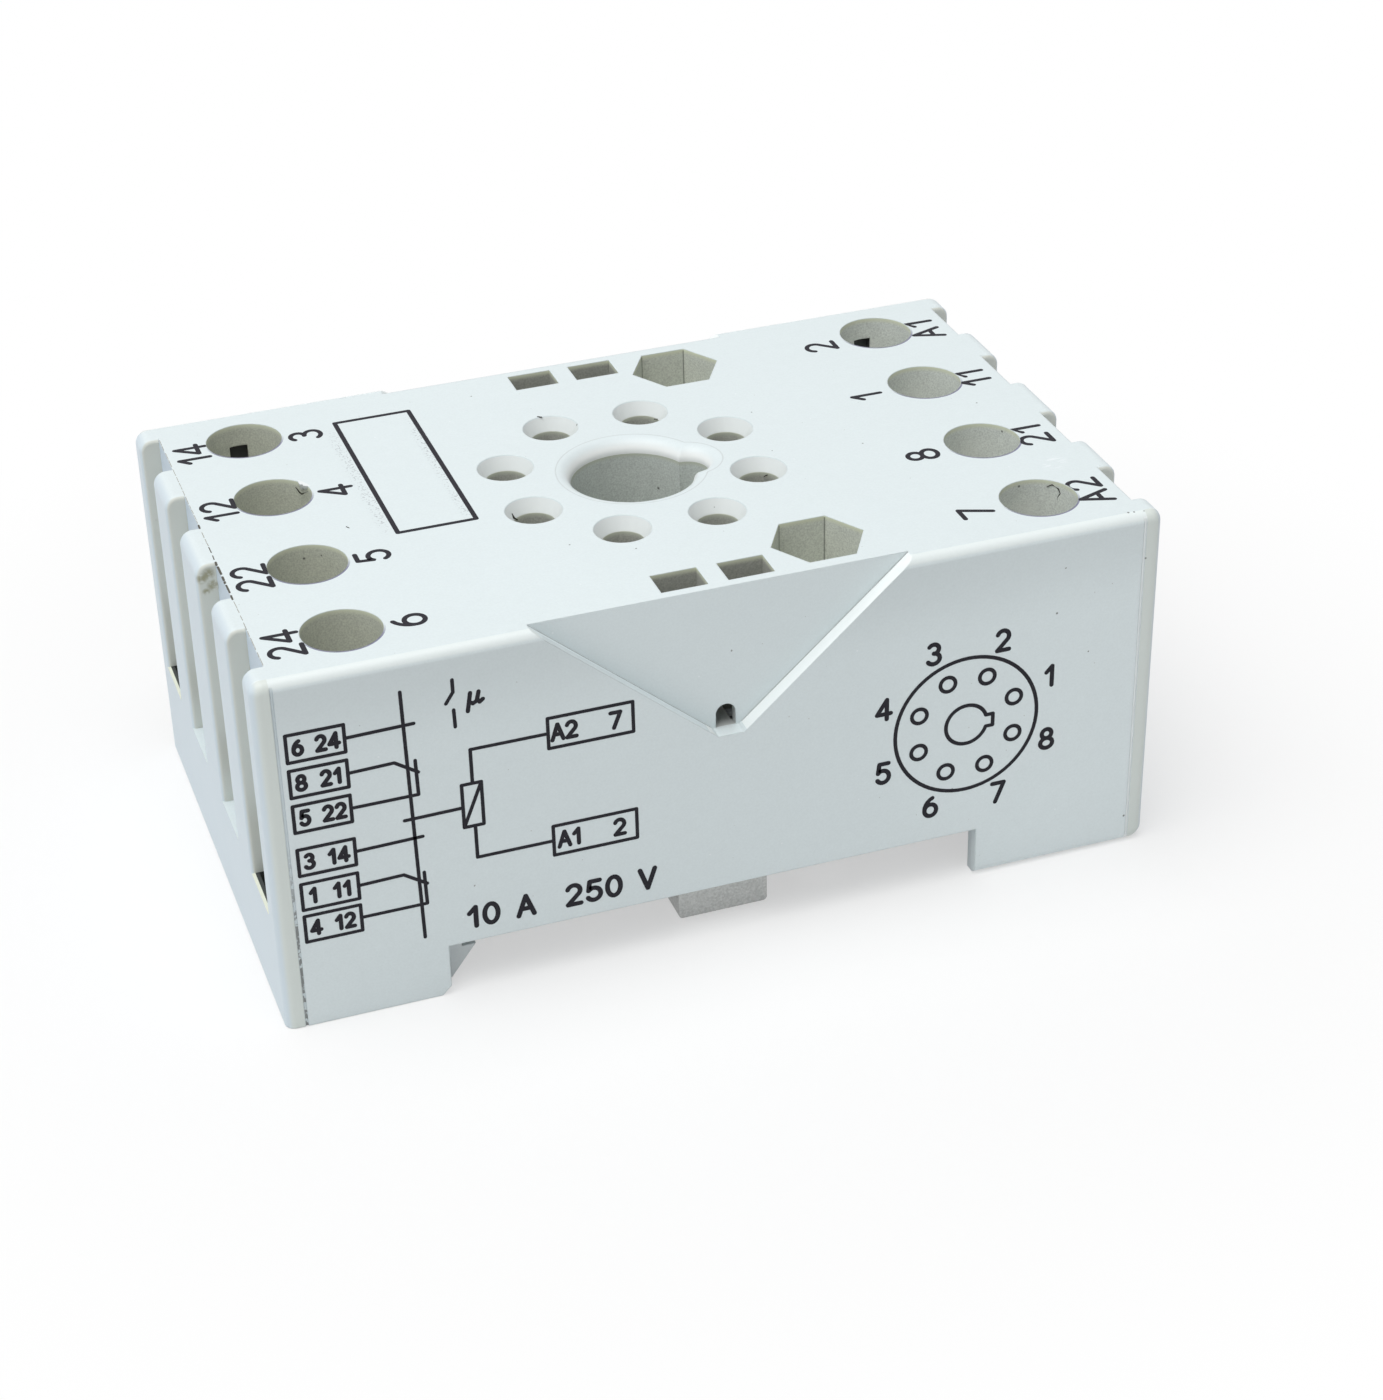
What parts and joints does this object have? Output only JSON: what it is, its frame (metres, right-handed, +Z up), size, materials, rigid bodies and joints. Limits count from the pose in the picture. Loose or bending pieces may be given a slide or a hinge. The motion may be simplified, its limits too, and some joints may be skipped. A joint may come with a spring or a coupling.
{
  "type": "relay socket",
  "caption": "Flat rail-mount socket for a round-plug relay: ring of pin holes round a keyed centre hole, screw terminals at both finned ends, sprung steel rail clip underneath.",
  "frame": {"origin": "middle of the underside, on the plane of the feet", "axes": "+X along the length, towards the keyway; +Y towards the back long side; +Z up, out of the face that the relay plugs into"},
  "size_m": [0.062, 0.038, 0.0262],
  "materials": {
    "housing_plastic": "moulded, fine satin",
    "cover_plastic": "moulded, fine satin",
    "clip_steel": "zinc plated",
    "spring_steel": "drawn wire",
    "contact_brass": "stamped, thinly tinned",
    "cage_steel": "zinc plated",
    "screw_steel": "zinc plated"
  },
  "bodies": {
    "root": {"housing": "housing_plastic", "base_plate": "cover_plastic", "rail_spring": "spring_steel", "contact_1": "contact_brass", "contact_2": "contact_brass", "contact_3": "contact_brass", "contact_4": "contact_brass", "contact_5": "contact_brass", "contact_6": "contact_brass", "contact_7": "contact_brass", "contact_8": "contact_brass"},
    "rail_clip": {"rail_clip": "clip_steel"},
    "terminal_screw_1": {"terminal_screw_1": "screw_steel"},
    "clamp_cage_1": {"clamp_cage_1": "cage_steel"},
    "terminal_screw_2": {"terminal_screw_2": "screw_steel"},
    "clamp_cage_2": {"clamp_cage_2": "cage_steel"},
    "terminal_screw_3": {"terminal_screw_3": "screw_steel"},
    "clamp_cage_3": {"clamp_cage_3": "cage_steel"},
    "terminal_screw_4": {"terminal_screw_4": "screw_steel"},
    "clamp_cage_4": {"clamp_cage_4": "cage_steel"},
    "terminal_screw_5": {"terminal_screw_5": "screw_steel"},
    "clamp_cage_5": {"clamp_cage_5": "cage_steel"},
    "terminal_screw_6": {"terminal_screw_6": "screw_steel"},
    "clamp_cage_6": {"clamp_cage_6": "cage_steel"},
    "terminal_screw_7": {"terminal_screw_7": "screw_steel"},
    "clamp_cage_7": {"clamp_cage_7": "cage_steel"},
    "terminal_screw_8": {"terminal_screw_8": "screw_steel"},
    "clamp_cage_8": {"clamp_cage_8": "cage_steel"}
  },
  "joints": [
    {"name": "rail_clip_slide", "type": "slide", "parent": "root", "child": "rail_clip", "axis": [1, 0, 0], "range_m": [0, 0.002], "stiffness_N_per_m": 300, "springref_m": -0.002, "deforming": ["rail_spring"]},
    {"name": "terminal_screw_1_turn", "type": "hinge", "parent": "root", "child": "terminal_screw_1", "pos_m": [0.024, 0.00505, 0.02], "axis": [0, 0, -1], "range_deg": [0, 2125]},
    {"name": "clamp_cage_1_rise", "type": "slide", "parent": "root", "child": "clamp_cage_1", "axis": [0, 0, 1], "range_m": [0, 0.00295]},
    {"name": "terminal_screw_2_turn", "type": "hinge", "parent": "root", "child": "terminal_screw_2", "pos_m": [0.024, 0.01425, 0.02], "axis": [0, 0, -1], "range_deg": [0, 2125]},
    {"name": "clamp_cage_2_rise", "type": "slide", "parent": "root", "child": "clamp_cage_2", "axis": [0, 0, 1], "range_m": [0, 0.00295]},
    {"name": "terminal_screw_3_turn", "type": "hinge", "parent": "root", "child": "terminal_screw_3", "pos_m": [-0.024, 0.01425, 0.02], "axis": [0, 0, -1], "range_deg": [0, 2125]},
    {"name": "clamp_cage_3_rise", "type": "slide", "parent": "root", "child": "clamp_cage_3", "axis": [0, 0, 1], "range_m": [0, 0.00295]},
    {"name": "terminal_screw_4_turn", "type": "hinge", "parent": "root", "child": "terminal_screw_4", "pos_m": [-0.024, 0.00505, 0.02], "axis": [0, 0, -1], "range_deg": [0, 2125]},
    {"name": "clamp_cage_4_rise", "type": "slide", "parent": "root", "child": "clamp_cage_4", "axis": [0, 0, 1], "range_m": [0, 0.00295]},
    {"name": "terminal_screw_5_turn", "type": "hinge", "parent": "root", "child": "terminal_screw_5", "pos_m": [-0.024, -0.00505, 0.02], "axis": [0, 0, -1], "range_deg": [0, 2125]},
    {"name": "clamp_cage_5_rise", "type": "slide", "parent": "root", "child": "clamp_cage_5", "axis": [0, 0, 1], "range_m": [0, 0.00295]},
    {"name": "terminal_screw_6_turn", "type": "hinge", "parent": "root", "child": "terminal_screw_6", "pos_m": [-0.024, -0.01425, 0.02], "axis": [0, 0, -1], "range_deg": [0, 2125]},
    {"name": "clamp_cage_6_rise", "type": "slide", "parent": "root", "child": "clamp_cage_6", "axis": [0, 0, 1], "range_m": [0, 0.00295]},
    {"name": "terminal_screw_7_turn", "type": "hinge", "parent": "root", "child": "terminal_screw_7", "pos_m": [0.024, -0.01425, 0.02], "axis": [0, 0, -1], "range_deg": [0, 2125]},
    {"name": "clamp_cage_7_rise", "type": "slide", "parent": "root", "child": "clamp_cage_7", "axis": [0, 0, 1], "range_m": [0, 0.00295]},
    {"name": "terminal_screw_8_turn", "type": "hinge", "parent": "root", "child": "terminal_screw_8", "pos_m": [0.024, -0.00505, 0.02], "axis": [0, 0, -1], "range_deg": [0, 2125]},
    {"name": "clamp_cage_8_rise", "type": "slide", "parent": "root", "child": "clamp_cage_8", "axis": [0, 0, 1], "range_m": [0, 0.00295]}
  ],
  "couplings": [
    {"joint": "terminal_screw_1_turn", "follows": "clamp_cage_1_rise", "rad_per_m": 12566},
    {"joint": "terminal_screw_2_turn", "follows": "clamp_cage_2_rise", "rad_per_m": 12566},
    {"joint": "terminal_screw_3_turn", "follows": "clamp_cage_3_rise", "rad_per_m": 12566},
    {"joint": "terminal_screw_4_turn", "follows": "clamp_cage_4_rise", "rad_per_m": 12566},
    {"joint": "terminal_screw_5_turn", "follows": "clamp_cage_5_rise", "rad_per_m": 12566},
    {"joint": "terminal_screw_6_turn", "follows": "clamp_cage_6_rise", "rad_per_m": 12566},
    {"joint": "terminal_screw_7_turn", "follows": "clamp_cage_7_rise", "rad_per_m": 12566},
    {"joint": "terminal_screw_8_turn", "follows": "clamp_cage_8_rise", "rad_per_m": 12566}
  ]
}
